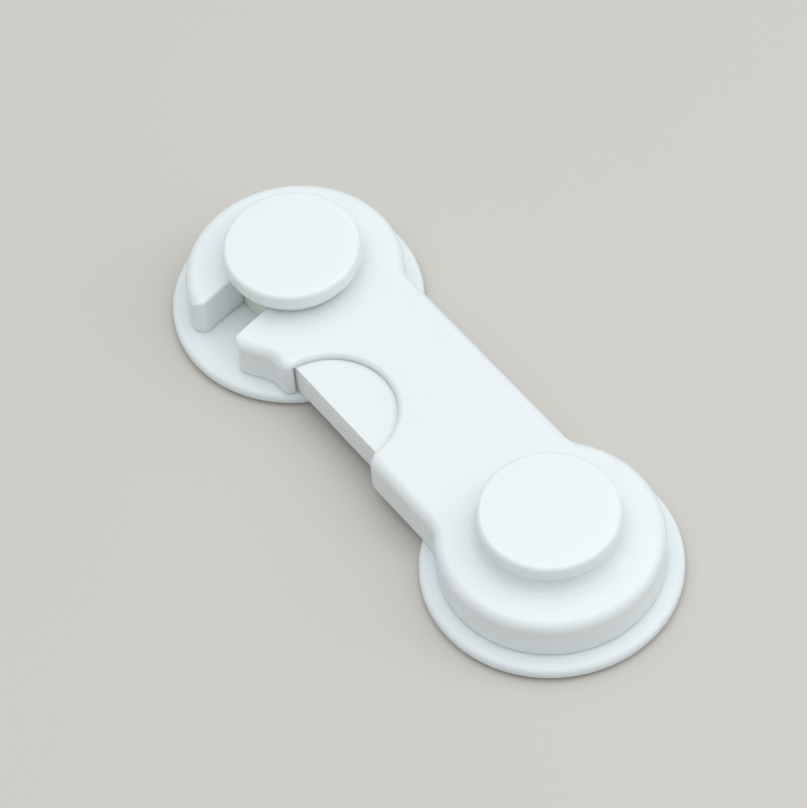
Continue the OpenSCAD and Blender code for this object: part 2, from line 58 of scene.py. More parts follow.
WASHER_IN_R, SLIP_R, SLIP_Z, SLIP_T = 6.2, 15, 2.85, 0.3
POCKET_IN_R, POCKET_R = 6.1, 15.2
WAVE_R, WAVE_Z, WAVE_T, WAVE_RISE = 8.8, 10.75, 0.2, 0.1
ARM_Z, TRIGGER_TRAVEL = 3.2, 3
PIN_X, PIN_Y, PIN_R, PIN_Z, PIN_TOP_Z = 50.7, -1, 1, 4.8, 9.5
SPRING_X, SPRING_Z = (33.8, 49.8), 7.2
SPRING_R, WIRE_R, SPRING_TURNS, SPRING_START_Y, SPRING_RISE = 1.9, 0.25, 5, -5.3, 6.8
POST_SCREW = {"d": 2.6, "l": 14.0, "head_d": 4.8, "head_h": 1.2, "pitch": 1.0}
COVER_SCREW = {"d": 2.0, "l": 4.6, "head_d": 3.8, "head_h": 1.0, "pitch": 0.8}
PIVOT_SCREW_RING, PIVOT_SCREW_ANGLE = 12.5, 50
LATCH_SCREW_RING, LATCH_SCREW_ANGLES = 13.55, (-90, 20)


# Node helpers

def put(tree, kind, settings=None, feeds=None):
    """Adds a node, with its settings, and its inputs as values or as sockets to link from."""
    node = tree.nodes.new(kind)
    for key, value in (settings or {}).items():
        setattr(node, key, value)
    for key, value in (feeds or {}).items():
        if isinstance(value, bpy.types.NodeSocket):
            tree.links.new(value, node.inputs[key])
        else:
            node.inputs[key].default_value = value
    return node


def maths(tree, operation, first, second=0.0):
    return put(tree, "ShaderNodeMath", {"operation": operation}, {0: first, 1: second}).outputs[0]


def whole_maths(tree, operation, first, second):
    return put(tree, "FunctionNodeIntegerMath", {"operation": operation}, {0: first, 1: second}).outputs[0]


def new_group(name, kind, inputs, outputs):
    """Node group with named inputs (name, socket type, default) and outputs (name, socket type)."""
    tree = bpy.data.node_groups.new(name, kind)
    for label, socket_type, default in inputs:
        socket = tree.interface.new_socket(name=label, in_out="INPUT", socket_type=socket_type)
        if default is not None:
            socket.default_value = default
    for label, socket_type in outputs:
        tree.interface.new_socket(name=label, in_out="OUTPUT", socket_type=socket_type)
    return tree, tree.nodes.new("NodeGroupInput").outputs, tree.nodes.new("NodeGroupOutput").inputs


# Shared surface effects

def make_moulded_skin():
    """Grain of the mould, and slow changes of tone and gloss over a moulded surface."""
    tree, given, out = new_group(
        "moulded_skin", "ShaderNodeTree",
        [("Grain Scale", "NodeSocketFloat", 2600.0), ("Flow Scale", "NodeSocketFloat", 55.0)],
        [("Height", "NodeSocketFloat"), ("Tone", "NodeSocketFloat"), ("Gloss", "NodeSocketFloat")])
    place = put(tree, "ShaderNodeTexCoord").outputs["Object"]
    grain = put(tree, "ShaderNodeTexNoise", None,
                {"Vector": place, "Scale": given["Grain Scale"], "Detail": 3.0, "Roughness": 0.55})
    flow = put(tree, "ShaderNodeTexNoise", None,
               {"Vector": place, "Scale": given["Flow Scale"], "Detail": 1.0, "Distortion": 0.15})
    smear_scale = maths(tree, "MULTIPLY", given["Flow Scale"], 4.3)
    smear = put(tree, "ShaderNodeTexNoise", None,
                {"Vector": place, "Scale": smear_scale, "Detail": 3.0, "Roughness": 0.5, "Distortion": 0.2})
    tree.links.new(grain.outputs["Fac"], out["Height"])
    tree.links.new(flow.outputs["Fac"], out["Tone"])
    tree.links.new(smear.outputs["Fac"], out["Gloss"])
    return tree


def make_edge_gloss_and_shade():
    """Marks from how the surface turns: outer edges, for gloss on plastic and a painted highlight on steel, and
    corners, for painted shade.
    """
    tree, given, out = new_group(
        "edge_rub", "ShaderNodeTree", [("Breakup Scale", "NodeSocketFloat", 700.0)],
        [("Rub", "NodeSocketFloat"), ("Dust", "NodeSocketFloat")])
    place = put(tree, "ShaderNodeTexCoord").outputs["Object"]
    turn = put(tree, "ShaderNodeAttribute", {"attribute_name": "edge_turn"}).outputs["Fac"]
    broken = put(tree, "ShaderNodeTexNoise", None,
                 {"Vector": place, "Scale": given["Breakup Scale"], "Detail": 4.0, "Roughness": 0.6})
    patch = put(tree, "ShaderNodeMapRange", None,
                {"Value": broken.outputs["Fac"], "From Min": 0.35, "From Max": 0.65}).outputs["Result"]
    outward = put(tree, "ShaderNodeMath", {"operation": "MAXIMUM"}, {0: turn, 1: 0.0}).outputs[0]
    inward = maths(tree, "MAXIMUM", maths(tree, "MULTIPLY", turn, -1.0), 0.0)
    # Outer edges: gloss and painted highlight; corners: painted shade, stronger where the surface turns further
    # inward
    tree.links.new(maths(tree, "MULTIPLY", outward, patch), out["Rub"])
    tree.links.new(maths(tree, "MULTIPLY", inward, maths(tree, "SUBTRACT", 1.2, patch)), out["Dust"])
    return tree


def make_drawn_lines():
    """Fine lines along X left by rolling or drawing, for the steel pieces."""
    tree, given, out = new_group(
        "drawn_lines", "ShaderNodeTree",
        [("Line Scale", "NodeSocketFloat", 3000.0), ("Stretch", "NodeSocketFloat", 0.08)],
        [("Height", "NodeSocketFloat"), ("Tone", "NodeSocketFloat")])
    place = put(tree, "ShaderNodeTexCoord").outputs["Object"]
    stretch = put(tree, "ShaderNodeCombineXYZ", None, {"X": given["Stretch"], "Y": 1.0, "Z": 1.0}).outputs[0]
    along = put(tree, "ShaderNodeVectorMath", {"operation": "MULTIPLY"}, {0: place, 1: stretch}).outputs[0]
    line = put(tree, "ShaderNodeTexNoise", None,
               {"Vector": along, "Scale": given["Line Scale"], "Detail": 4.0, "Roughness": 0.7})
    cloud = put(tree, "ShaderNodeTexNoise", None, {"Vector": place, "Scale": 420.0, "Detail": 3.0})
    tree.links.new(line.outputs["Fac"], out["Height"])
    tree.links.new(cloud.outputs["Fac"], out["Tone"])
    return tree


MOULDED_SKIN = make_moulded_skin()
EDGE_GLOSS_AND_SHADE = make_edge_gloss_and_shade()
DRAWN_LINES = make_drawn_lines()


def new_material(name):
    material = bpy.data.materials.new(name)
    material.use_nodes = True
    tree = material.node_tree
    return material, tree, tree.nodes["Principled BSDF"]


def place_group(tree, group, **values):
    node = put(tree, "ShaderNodeGroup", {"node_tree": group})
    for label, value in values.items():
        node.inputs[label.replace("_", " ")].default_value = value
    return node.outputs


def spread(tree, value, low, high):
    return put(tree, "ShaderNodeMapRange", None,
               {"Value": value, "From Min": 0.3, "From Max": 0.7, "To Min": low, "To Max": high}).outputs["Result"]


def blend_colour(tree, share, first, second):
    node = put(tree, "ShaderNodeMix", {"data_type": "RGBA"}, {"Factor": share})
    for socket, colour in ((node.inputs[6], first), (node.inputs[7], second)):
        if isinstance(colour, bpy.types.NodeSocket):
            tree.links.new(colour, socket)
        else:
            socket.default_value = (*colour, 1.0)
    return node.outputs[2]


def set_bump(tree, shader, height, strength, distance_mm):
    bump = put(tree, "ShaderNodeBump", None, {"Height": height, "Strength": strength, "Distance": distance_mm*MM})
    tree.links.new(bump.outputs["Normal"], shader.inputs["Normal"])


LIGHT_SHARE, LIGHT_DEPTH = 0.6, 1.2


def moulded_plastic(name, light, dark, rough, grain, grain_scale):
    """Moulded plastic: two close tones, uneven gloss, mould grain, rubbed edges and painted shade in the corners.
    Some of the light goes a little way in and comes out again beside."""
    material, tree, shader = new_material(name)
    skin = place_group(tree, MOULDED_SKIN, Grain_Scale=grain_scale)
    edge_marks = place_group(tree, EDGE_GLOSS_AND_SHADE)
    # Painted shade: corners are blended towards a darker copy of the plastic's tone
    painted_shade_colour = tuple(0.72*c for c in dark)
    toned = blend_colour(tree, spread(tree, skin["Tone"], 0.0, 1.0), light, dark)
    with_painted_shade = blend_colour(tree, maths(tree, "MULTIPLY", edge_marks["Dust"], 0.2), toned, painted_shade_colour)
    tree.links.new(with_painted_shade, shader.inputs["Base Color"])
    gloss = spread(tree, skin["Gloss"], rough - 0.015, rough + 0.02)
    rubbed = maths(tree, "SUBTRACT", gloss, maths(tree, "MULTIPLY", edge_marks["Rub"], 0.03))
    tree.links.new(rubbed, shader.inputs["Roughness"])
    set_bump(tree, shader, skin["Height"], grain, 0.02)
    shader.inputs["IOR"].default_value = 1.5
    shader.inputs["Subsurface Weight"].default_value = LIGHT_SHARE
    shader.inputs["Subsurface Radius"].default_value = (1.0, 1.0, 0.9)
    shader.inputs["Subsurface Scale"].default_value = LIGHT_DEPTH*MM
    return material


def plated_steel(name, light, dark, rough, line_scale):
    """Zinc-plated or drawn steel with fine lines, a clouded tone and a painted highlight on its outer edges."""
    material, tree, shader = new_material(name)
    lines = place_group(tree, DRAWN_LINES, Line_Scale=line_scale)
    edge_marks = place_group(tree, EDGE_GLOSS_AND_SHADE)
    clouded = blend_colour(tree, spread(tree, lines["Tone"], 0.0, 1.0), light, dark)
    # Painted highlight: outer edges are lightened towards a pale steel colour
    with_painted_highlight = blend_colour(tree, maths(tree, "MULTIPLY", edge_marks["Rub"], 0.5), clouded, (0.82, 0.83, 0.85))
    tree.links.new(with_painted_highlight, shader.inputs["Base Color"])
    tree.links.new(spread(tree, lines["Height"], rough - 0.06, rough + 0.1), shader.inputs["Roughness"])
    set_bump(tree, shader, lines["Height"], 0.15, 0.01)
    shader.inputs["Metallic"].default_value = 1.0
    return material


def foam_tape(name):
    """Closed-cell foam tape: fine cells, a matt face and a slightly uneven tone."""
    material, tree, shader = new_material(name)
    place = put(tree, "ShaderNodeTexCoord").outputs["Object"]
    cells = put(tree, "ShaderNodeTexVoronoi", None, {"Vector": place, "Scale": 2400.0}).outputs["Distance"]
    skin = place_group(tree, MOULDED_SKIN, Grain_Scale=1500.0)
    toned = blend_colour(tree, spread(tree, skin["Tone"], 0.0, 1.0), (0.72, 0.74, 0.75), (0.62, 0.64, 0.65))
    celled = blend_colour(tree, maths(tree, "MULTIPLY", cells, 0.35), toned, (0.84, 0.85, 0.86))
    tree.links.new(celled, shader.inputs["Base Color"])
    tree.links.new(spread(tree, skin["Gloss"], 0.78, 0.92), shader.inputs["Roughness"])
    set_bump(tree, shader, maths(tree, "ADD", cells, skin["Height"]), 0.5, 0.05)
    shader.inputs["Specular IOR Level"].default_value = 0.3
    return material


# Plastics: light tone, dark tone, roughness, strength and scale of the mould grain
PLASTICS = {
    "arm_plastic": ((0.859, 0.911, 0.917), (0.844, 0.896, 0.907), 0.32, 0.09, 2600.0),
    "base_plastic": ((0.845, 0.906, 0.925), (0.83, 0.891, 0.915), 0.30, 0.08, 2400.0),
    "cap_plastic": ((0.865, 0.917, 0.923), (0.852, 0.904, 0.914), 0.30, 0.03, 2800.0),
    "trigger_plastic": ((0.857, 0.901, 0.904), (0.842, 0.886, 0.891), 0.34, 0.1, 2600.0),
    "cover_plastic": ((0.80, 0.84, 0.85), (0.76, 0.80, 0.81), 0.46, 0.22, 1900.0),
    "post_plastic": ((0.80, 0.80, 0.73), (0.76, 0.76, 0.69), 0.38, 0.12, 2200.0),
    "washer_nylon": ((0.74, 0.74, 0.70), (0.69, 0.69, 0.66), 0.45, 0.15, 2200.0),
}
# Steels: light tone, dark tone, roughness, scale of the drawn lines
STEELS = {
    "screw_steel": ((0.60, 0.61, 0.63), (0.52, 0.53, 0.55), 0.30, 2600.0),
    "spring_steel": ((0.52, 0.53, 0.55), (0.45, 0.46, 0.48), 0.26, 4200.0),
}
MATERIALS = {
    **{name: moulded_plastic(name, *finish) for name, finish in PLASTICS.items()},
    "foam_tape": foam_tape("foam_tape"),
    **{name: plated_steel(name, *finish) for name, finish in STEELS.items()},
}


# Meshes

def link_object(name, mesh):
    obj = bpy.data.objects.new(name, mesh)
    bpy.context.scene.collection.objects.link(obj)
    return obj


# Faces over this many square millimetres have no edge gloss, painted edge highlight or painted corner shade of their
# own
WIDE_FACE = 6


def mark_turns(mesh):
    """Stores how sharply the surface turns: over 0 on an outer edge, under 0 in a corner, 0 on a wide face."""
    bm = bmesh.new()
    bm.from_mesh(mesh)
    quiet, full = radians(6), radians(26)
    turns = []
    for vert in bm.verts:
        angles = [e.calc_face_angle_signed() for e in vert.link_edges if len(e.link_faces) == 2]
        most = max(angles, key=abs, default=0.0)
        size = min(max(abs(most) - quiet, 0.0)/(full - quiet), 1.0)
        turns.append(size if most > 0 else -size)
    bm.free()
    marks = [0.0]*len(mesh.loops)
    for face in mesh.polygons:
        if face.area < WIDE_FACE*MM**2:
            for loop in face.loop_indices:
                marks[loop] = turns[mesh.loops[loop].vertex_index]
    mesh.attributes.new("edge_turn", "FLOAT", "CORNER").data.foreach_set("value", marks)


def dress(obj, body, slot, *nodes):
    """Gives a finished piece its finish and its body, in place of the nodes that it stands for."""
    mark_turns(obj.data)
    obj.data.materials.clear()
    obj.data.materials.append(MATERIALS[slot])
    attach(obj, body)
    if nodes:
        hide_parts(*nodes)
    return obj


def settle(obj, modifier):
    """Turns a node modifier's result into the object's own plain mesh."""
    graph = bpy.context.evaluated_depsgraph_get()
    mesh = bpy.data.meshes.new_from_object(obj.evaluated_get(graph), preserve_all_data_layers=True, depsgraph=graph)
    obj.modifiers.remove(modifier)
    obj.data = mesh
    mesh.name = obj.name
    return obj


def shape_by(obj, tree, **values):
    """Shapes an object by a node tree, with the tree's named inputs."""
    modifier = obj.modifiers.new(tree.name, "NODES")
    modifier.node_group = tree
    sockets = {s.name: s.identifier for s in tree.interface.items_tree if s.in_out == "INPUT"}
    for label, value in values.items():
        modifier[sockets[label.replace("_", " ")]] = value
    return settle(obj, modifier)


def smooth_by_angle(mesh, limit):
    mesh.polygons.foreach_set("use_smooth", [True]*len(mesh.polygons))
    mesh.set_sharp_from_angle(angle=radians(limit))


def point_outwards(mesh):
    bm = bmesh.new()
    bm.from_mesh(mesh)
    bmesh.ops.recalc_face_normals(bm, faces=bm.faces)
    bm.to_mesh(mesh)
    bm.free()


# Turned pieces: a profile of radius and height, its corners rounded, carried round an upright axis

def make_turned_tree():
    tree, given, out = new_group(
        "turned_part", "GeometryNodeTree",
        [("Geometry", "NodeSocketGeometry", None), ("Segments", "NodeSocketInt", 144),
         ("Corner Steps", "NodeSocketInt", 6), ("Closed", "NodeSocketInt", 0),
         ("Axis X", "NodeSocketFloat", 0.0), ("Axis Y", "NodeSocketFloat", 0.0),
         ("Waves", "NodeSocketFloat", 3.0), ("Wave Rise", "NodeSocketFloat", 0.0),
         ("Raggedness", "NodeSocketFloat", 0.0), ("Material", "NodeSocketMaterial", None)],
        [("Geometry", "NodeSocketGeometry")])
    corner = put(tree, "GeometryNodeInputNamedAttribute", {"data_type": "FLOAT"}, {"Name": "corner_r"})
    line = put(tree, "GeometryNodeMeshToCurve", None, {"Mesh": given["Geometry"]}).outputs[0]
    profile = put(tree, "GeometryNodeFilletCurve", {"mode": "POLY"},
                  {"Curve": line, "Count": given["Corner Steps"], "Radius": corner.outputs["Attribute"],
                   "Limit Radius": True}).outputs[0]
    count = put(tree, "GeometryNodeAttributeDomainSize", {"component": "CURVE"},
                {"Geometry": profile}).outputs["Point Count"]
    rows = whole_maths(tree, "ADD", count, given["Closed"])
    columns = whole_maths(tree, "ADD", given["Segments"], 1)
    grid = put(tree, "GeometryNodeMeshGrid", None, {"Vertices X": columns, "Vertices Y": rows}).outputs["Mesh"]
    index = put(tree, "GeometryNodeInputIndex").outputs[0]
    column = whole_maths(tree, "DIVIDE_FLOOR", index, rows)
    row = whole_maths(tree, "MODULO", whole_maths(tree, "MODULO", index, rows), count)
    place = put(tree, "GeometryNodeInputPosition").outputs[0]
    sample = put(tree, "GeometryNodeSampleIndex", {"data_type": "FLOAT_VECTOR", "domain": "POINT"},
                 {"Geometry": profile, "Value": place, "Index": row}).outputs[0]
    parts = put(tree, "ShaderNodeSeparateXYZ", None, {0: sample}).outputs
    turn = maths(tree, "DIVIDE", maths(tree, "MULTIPLY", column, 2*pi), given["Segments"])
    across, up = maths(tree, "COSINE", turn), maths(tree, "SINE", turn)
    spot = put(tree, "ShaderNodeCombineXYZ", None, {"X": across, "Y": up, "Z": parts["Z"]}).outputs[0]
    ragged = put(tree, "ShaderNodeTexNoise", None, {"Vector": spot, "Scale": 30.0, "Detail": 3.0}).outputs["Fac"]
    nick = maths(tree, "MULTIPLY", maths(tree, "SUBTRACT", 1.0, ragged), given["Raggedness"])
    radius = maths(tree, "MULTIPLY", parts["X"], maths(tree, "SUBTRACT", 1.0, nick))
    x = maths(tree, "ADD", maths(tree, "MULTIPLY", radius, across), given["Axis X"])
    y = maths(tree, "ADD", maths(tree, "MULTIPLY", radius, up), given["Axis Y"])
    wave = maths(tree, "MULTIPLY", maths(tree, "SINE", maths(tree, "MULTIPLY", turn, given["Waves"])),
                 given["Wave Rise"])
    z = maths(tree, "ADD", parts["Z"], wave)
    spun = put(tree, "GeometryNodeSetPosition", None, {
        "Geometry": grid, "Position": put(tree, "ShaderNodeCombineXYZ", None, {"X": x, "Y": y, "Z": z}).outputs[0]})
    joined = put(tree, "GeometryNodeMergeByDistance", None, {"Geometry": spun.outputs[0], "Distance": 0.002*MM})
    real = put(tree, "GeometryNodeRealizeInstances", None, {"Geometry": joined.outputs[0]})
    painted = put(tree, "GeometryNodeSetMaterial", None, {"Geometry": real.outputs[0], "Material": given["Material"]})
    tree.links.new(painted.outputs[0], out["Geometry"])
    return tree


TURNED_PART = make_turned_tree()


def turned(name, slot, profile, closed=False, axis_x=0.0, axis_y=0.0, segments=144, **more):
    """Turned piece from its profile: (radius, height, corner rounding) in millimetres."""
    mesh = bpy.data.meshes.new(name)
    count = len(profile)
    edges = [(i, (i + 1) % count) for i in range(count if closed else count - 1)]
    mesh.from_pydata([(r*MM, 0, z*MM) for r, z, _ in profile], edges, [])
    corner = mesh.attributes.new("corner_r", "FLOAT", "POINT")
    corner.data.foreach_set("value", [c*MM for _, _, c in profile])
    obj = link_object(name, mesh)
    shape_by(obj, TURNED_PART, Segments=segments, Closed=int(closed), Axis_X=axis_x*MM, Axis_Y=axis_y*MM,
             Material=MATERIALS[slot], **more)
    point_outwards(obj.data)
    smooth_by_angle(obj.data, 40)
    return obj


BASE_PROFILE = [
    (BASE_FLAT_R, BASE_TOP_Z, BASE_CROWN_R), (BASE_R, BASE_RIM_Z, BASE_EDGE_R),
    (BASE_R, BASE_Z, 0.18), (PAD_R + 0.1, BASE_Z, 0.1), (PAD_R + 0.1, PAD_T, 0.0),
    (COUNTERSINK_R, PAD_T, 0.0), (SCREW_BORE_R, COUNTERSINK_Z, 0.0), (SCREW_BORE_R, BASE_TOP_Z, 0.0),
]
WASHER_POCKET = [
    (POCKET_IN_R, BASE_TOP_Z, 0.0), (POCKET_IN_R, SLIP_Z, 0.0), (POCKET_R, SLIP_Z, 0.0), (POCKET_R, BASE_TOP_Z, 0.05),
]
CAP_PROFILE = [
    (0.0, CAP_TOP_Z, 0.0),
    *[(CAP_R*k/8, CAP_TOP_Z - CAP_CROWN*(k/8)**2, 0.0) for k in range(1, 7)],
    (CAP_R, CAP_TOP_Z - CAP_CROWN, CAP_EDGE_R), (CAP_R, CAP_RIM_Z, 0.35), (SKIRT_R, CAP_RIM_Z, 0.4),
    (SKIRT_R, CAP_Z, 0.25), (STEM_R, CAP_Z, 0.2), (STEM_R, STEM_Z, 0.3),
    (SCREW_BORE_R, STEM_Z, 0.0), (SCREW_BORE_R, PILOT_TOP_Z, 0.0), (0.0, PILOT_TOP_Z, 0.0),
]
PAD_PROFILE = [(0.0, PAD_T, 0.0), (PAD_R, PAD_T, 0.12), (PAD_R, 0.0, 0.12), (0.0, 0.0, 0.0)]
POST_PROFILE = [
    (SCREW_BORE_R, BASE_TOP_Z, 0.0), (POST_R, BASE_TOP_Z, 0.1), (POST_R, CAP_Z, 0.15), (STEM_SEAT_R, CAP_Z, 0.0),
    (STEM_SEAT_R, STEM_SEAT_Z, 0.0), (SCREW_BORE_R, STEM_SEAT_Z, 0.0),
]
PIN_PROFILE = [(0.0, PIN_TOP_Z, 0.0), (PIN_R, PIN_TOP_Z, 0.2), (PIN_R, PIN_Z, 0.2), (0.0, PIN_Z, 0.0)]


def ring_profile(inner, outer, low, thick, corner):
    return [(inner, low, corner), (outer, low, corner), (outer, low + thick, corner), (inner, low + thick, corner)]


for end, axis_x, pocket in (("pivot", 0.0, WASHER_POCKET), ("latch", AXIS_SPAN, [])):
    dress(turned(f"{end}_base_disc", "base_plastic", BASE_PROFILE + pocket, True, axis_x),
          "bases", "base_plastic", f"{end}_base")
    pad = dress(turned(f"{end}_foam_pad", "foam_tape", PAD_PROFILE, False, axis_x, Raggedness=0.004),
                "bases", "foam_tape", f"{end}_adhesive_pad")
    dress(turned(f"{end}_button_cap", "cap_plastic", CAP_PROFILE, False, axis_x, Corner_Steps=9),
          "bases", "cap_plastic", f"{end}_cap")


def gate_stub(name, body, slot, centre_x, radius, bearing, z, width, height, proud):
    """Small block left on a rim where the mould was filled, its edges rounded."""
    bm = bmesh.new()
    bmesh.ops.create_cube(bm, size=1.0)
    out = Vector((cos(radians(bearing)), sin(radians(bearing)), 0))
    turn = Matrix.Rotation(radians(bearing), 4, "Z")
    middle_at = Vector((centre_x, 0, z)) + out*(radius - proud)
    bmesh.ops.transform(bm, matrix=Matrix.Translation(middle_at*MM) @ turn
                        @ Matrix.Diagonal(Vector((2*proud, width, height))*MM).to_4x4(), verts=bm.verts)
    bmesh.ops.bevel(bm, geom=bm.edges, offset=0.35*proud*MM, segments=2, profile=0.5, affect="EDGES")
    mesh = bpy.data.meshes.new(name)
    bm.to_mesh(mesh)
    bm.free()
    smooth_by_angle(mesh, 50)
    dress(link_object(name, mesh), body, slot)


gate_stub("pivot_base_gate_stub", "bases", "base_plastic", centre_x=0.0, radius=BASE_R + 0.12,
          bearing=GATE_BEARING, z=1.35, width=1.6, height=0.7, proud=0.25)
dress(turned("pivot_spindle", "post_plastic", POST_PROFILE, True, segments=96), "bases", "post_plastic", "pivot_post")
dress(turned("slip_ring", "washer_nylon", ring_profile(WASHER_IN_R, SLIP_R, SLIP_Z, SLIP_T, 0.06), True,
             Corner_Steps=2), "bases", "washer_nylon", "slip_washer")
dress(turned("wavy_spring_ring", "spring_steel", ring_profile(WASHER_IN_R, WAVE_R, WAVE_Z, WAVE_T, 0.04), True,
             Corner_Steps=2, Wave_Rise=WAVE_RISE*MM), "bases", "spring_steel", "wave_washer")
dress(turned("bolt_drive_pin", "screw_steel", PIN_PROFILE, False, PIN_X, PIN_Y, 48),
      "bolt", "screw_steel", "bolt_pin")


# Coil springs behind the trigger

def make_coil_tree():
    tree, given, out = new_group(
        "coil_spring", "GeometryNodeTree",
        [("Geometry", "NodeSocketGeometry", None), ("Turns", "NodeSocketFloat", 5.0),
         ("Coil Radius", "NodeSocketFloat", SPRING_R*MM), ("Wire Radius", "NodeSocketFloat", WIRE_R*MM),
         ("Rise", "NodeSocketFloat", SPRING_RISE*MM), ("Place", "NodeSocketVector", None),
         ("Material", "NodeSocketMaterial", None)],
        [("Geometry", "NodeSocketGeometry")])
    helix = put(tree, "GeometryNodeCurveSpiral", None, {
        "Resolution": 36, "Rotations": given["Turns"], "Start Radius": given["Coil Radius"],
        "End Radius": given["Coil Radius"], "Height": given["Rise"]}).outputs[0]
    wire = put(tree, "GeometryNodeCurvePrimitiveCircle", None,
               {"Resolution": 14, "Radius": given["Wire Radius"]}).outputs["Curve"]
    coil = put(tree, "GeometryNodeCurveToMesh", None,
               {"Curve": helix, "Profile Curve": wire, "Fill Caps": True}).outputs[0]
    laid = put(tree, "GeometryNodeTransform", None,
               {"Geometry": coil, "Translation": given["Place"], "Rotation": (pi/2, 0.0, 0.0)}).outputs[0]
    real = put(tree, "GeometryNodeRealizeInstances", None, {"Geometry": laid}).outputs[0]
    painted = put(tree, "GeometryNodeSetMaterial", None, {"Geometry": real, "Material": given["Material"]})
    tree.links.new(painted.outputs[0], out["Geometry"])
    return tree


COIL_SPRING = make_coil_tree()
for node, x in zip(("near_trigger_spring", "far_trigger_spring"), SPRING_X):
    spring = link_object(node.replace("trigger", "return"), bpy.data.meshes.new(node + "_coil"))
    shape_by(spring, COIL_SPRING, Turns=float(SPRING_TURNS), Coil_Radius=SPRING_R*MM, Wire_Radius=WIRE_R*MM,
             Rise=SPRING_RISE*MM, Place=Vector((x, SPRING_START_Y, SPRING_Z))*MM, Material=MATERIALS["spring_steel"])
    point_outwards(spring.data)
    smooth_by_angle(spring.data, 50)
    dress(spring, "arm", "spring_steel", node)
    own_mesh(spring)


# Screws: countersunk, with a cross recess and a coarse thread

def screw_mesh(name, d, l, head_d, head_h, pitch):
    """Screw along +Z with its head down, its head's face on z = 0."""
    sides, steps = 40, 10
    shank_r, head_r, depth = d/2, head_d/2, 0.14*d
    arm, half, sunk = 0.58*head_r, 0.13*head_r, 0.6*head_h
    bm = bmesh.new()

    def ring(z, radius_at):
        return [bm.verts.new((radius_at(a)*cos(a)*MM, radius_at(a)*sin(a)*MM, z*MM))
                for a in (2*pi*k/sides for k in range(sides))]

    def join(low, high):
        for k in range(sides):
            bm.faces.new((low[k], low[(k + 1) % sides], high[(k + 1) % sides], high[k]))

    def thread_r(z):
        fade = min((z - head_h)/pitch, (l - z)/pitch, 1.0)
        return lambda a: shank_r - depth*fade*(1 - abs(2*((z/pitch - a/(2*pi)) % 1.0) - 1))

    rings = [ring(0.0, lambda a: head_r - 0.1), ring(0.1, lambda a: head_r), ring(head_h, lambda a: shank_r)]
    rows = int(steps*(l - head_h)/pitch)
    rings += [ring(z, thread_r(z)) for z in (head_h + (l - 0.3 - head_h)*k/rows for k in range(1, rows + 1))]
    rings.append(ring(l, lambda a: 0.72*shank_r))
    for low, high in zip(rings, rings[1:]):
        join(low, high)
    bm.faces.new(rings[-1])

    def cross(z, reach, width):
        spots = [(reach, width), (width, width), (width, reach)]
        return [bm.verts.new((c*x*MM - s*y*MM, s*x*MM + c*y*MM, z*MM))
                for c, s in ((1, 0), (0, 1), (-1, 0), (0, -1)) for x, y in [(reach, -width), *spots[:2]]]

    top, floor = cross(0.0, arm, half), cross(sunk, 0.55*arm, 0.6*half)
    count = len(top)
    for k in range(count):
        bm.faces.new((top[k], top[(k + 1) % count], floor[(k + 1) % count], floor[k]))
    bm.faces.new(floor)
    bm.edges.ensure_lookup_table()
    rim = [bm.edges.get((r[k], r[(k + 1) % len(r)])) for r in (rings[0], top) for k in range(len(r))]
    bmesh.ops.triangle_fill(bm, use_beauty=True, edges=rim)
    bmesh.ops.recalc_face_normals(bm, faces=bm.faces)
    mesh = bpy.data.meshes.new(name)
    bm.to_mesh(mesh)
    bm.free()
    smooth_by_angle(mesh, 38)
    return mesh


def make_screw_tree():
    """Sets a screw on each point of the geometry."""
    tree, given, out = new_group(
        "screws_in_place", "GeometryNodeTree",
        [("Geometry", "NodeSocketGeometry", None), ("Screw", "NodeSocketObject", None),
         ("Turn Step", "NodeSocketFloat", 0.7), ("Material", "NodeSocketMaterial", None)],
        [("Geometry", "NodeSocketGeometry")])
    screw = put(tree, "GeometryNodeObjectInfo", None, {"Object": given["Screw"]}).outputs["Geometry"]
    index = put(tree, "GeometryNodeInputIndex").outputs[0]
    angle = maths(tree, "MULTIPLY", index, given["Turn Step"])
    turn = put(tree, "ShaderNodeCombineXYZ", None, {"Z": angle}).outputs[0]
    placed = put(tree, "GeometryNodeInstanceOnPoints", None,
                 {"Points": given["Geometry"], "Instance": screw, "Rotation": turn}).outputs[0]
    real = put(tree, "GeometryNodeRealizeInstances", None, {"Geometry": placed}).outputs[0]
    painted = put(tree, "GeometryNodeSetMaterial", None, {"Geometry": real, "Material": given["Material"]})
    tree.links.new(painted.outputs[0], out["Geometry"])
    return tree


SCREWS_IN_PLACE = make_screw_tree()


def set_screws(name, size, places, body, *nodes):
    pattern = link_object(name + "_pattern", screw_mesh(name + "_pattern", **size))
    mesh = bpy.data.meshes.new(name)
    mesh.from_pydata([Vector(p)*MM for p in places], [], [])
    obj = link_object(name, mesh)
    shape_by(obj, SCREWS_IN_PLACE, Screw=pattern, Material=MATERIALS["screw_steel"])
    bpy.data.objects.remove(pattern)
    dress(obj, body, "screw_steel", *nodes)


def on_ring(centre_x, ring, bearing):
    return (centre_x + ring*cos(radians(bearing)), ring*sin(radians(bearing)), ARM_Z)


set_screws("pivot_post_screw", POST_SCREW, [(0, 0, PAD_T)], "bases", "pivot_screw")
set_screws("latch_post_screw", POST_SCREW, [(AXIS_SPAN, 0, PAD_T)], "bases", "latch_screw")
set_screws("cover_screw_set", COVER_SCREW, [
    *[on_ring(0, PIVOT_SCREW_RING, 180 + side*PIVOT_SCREW_ANGLE) for side in (-1, 1)],
    *[on_ring(AXIS_SPAN, LATCH_SCREW_RING, bearing) for bearing in LATCH_SCREW_ANGLES],
], "arm", "cover_screws")


# Moulded pieces: the solid's own faces, with the small roundings that a mould leaves on their edges

SHARP = radians(38)


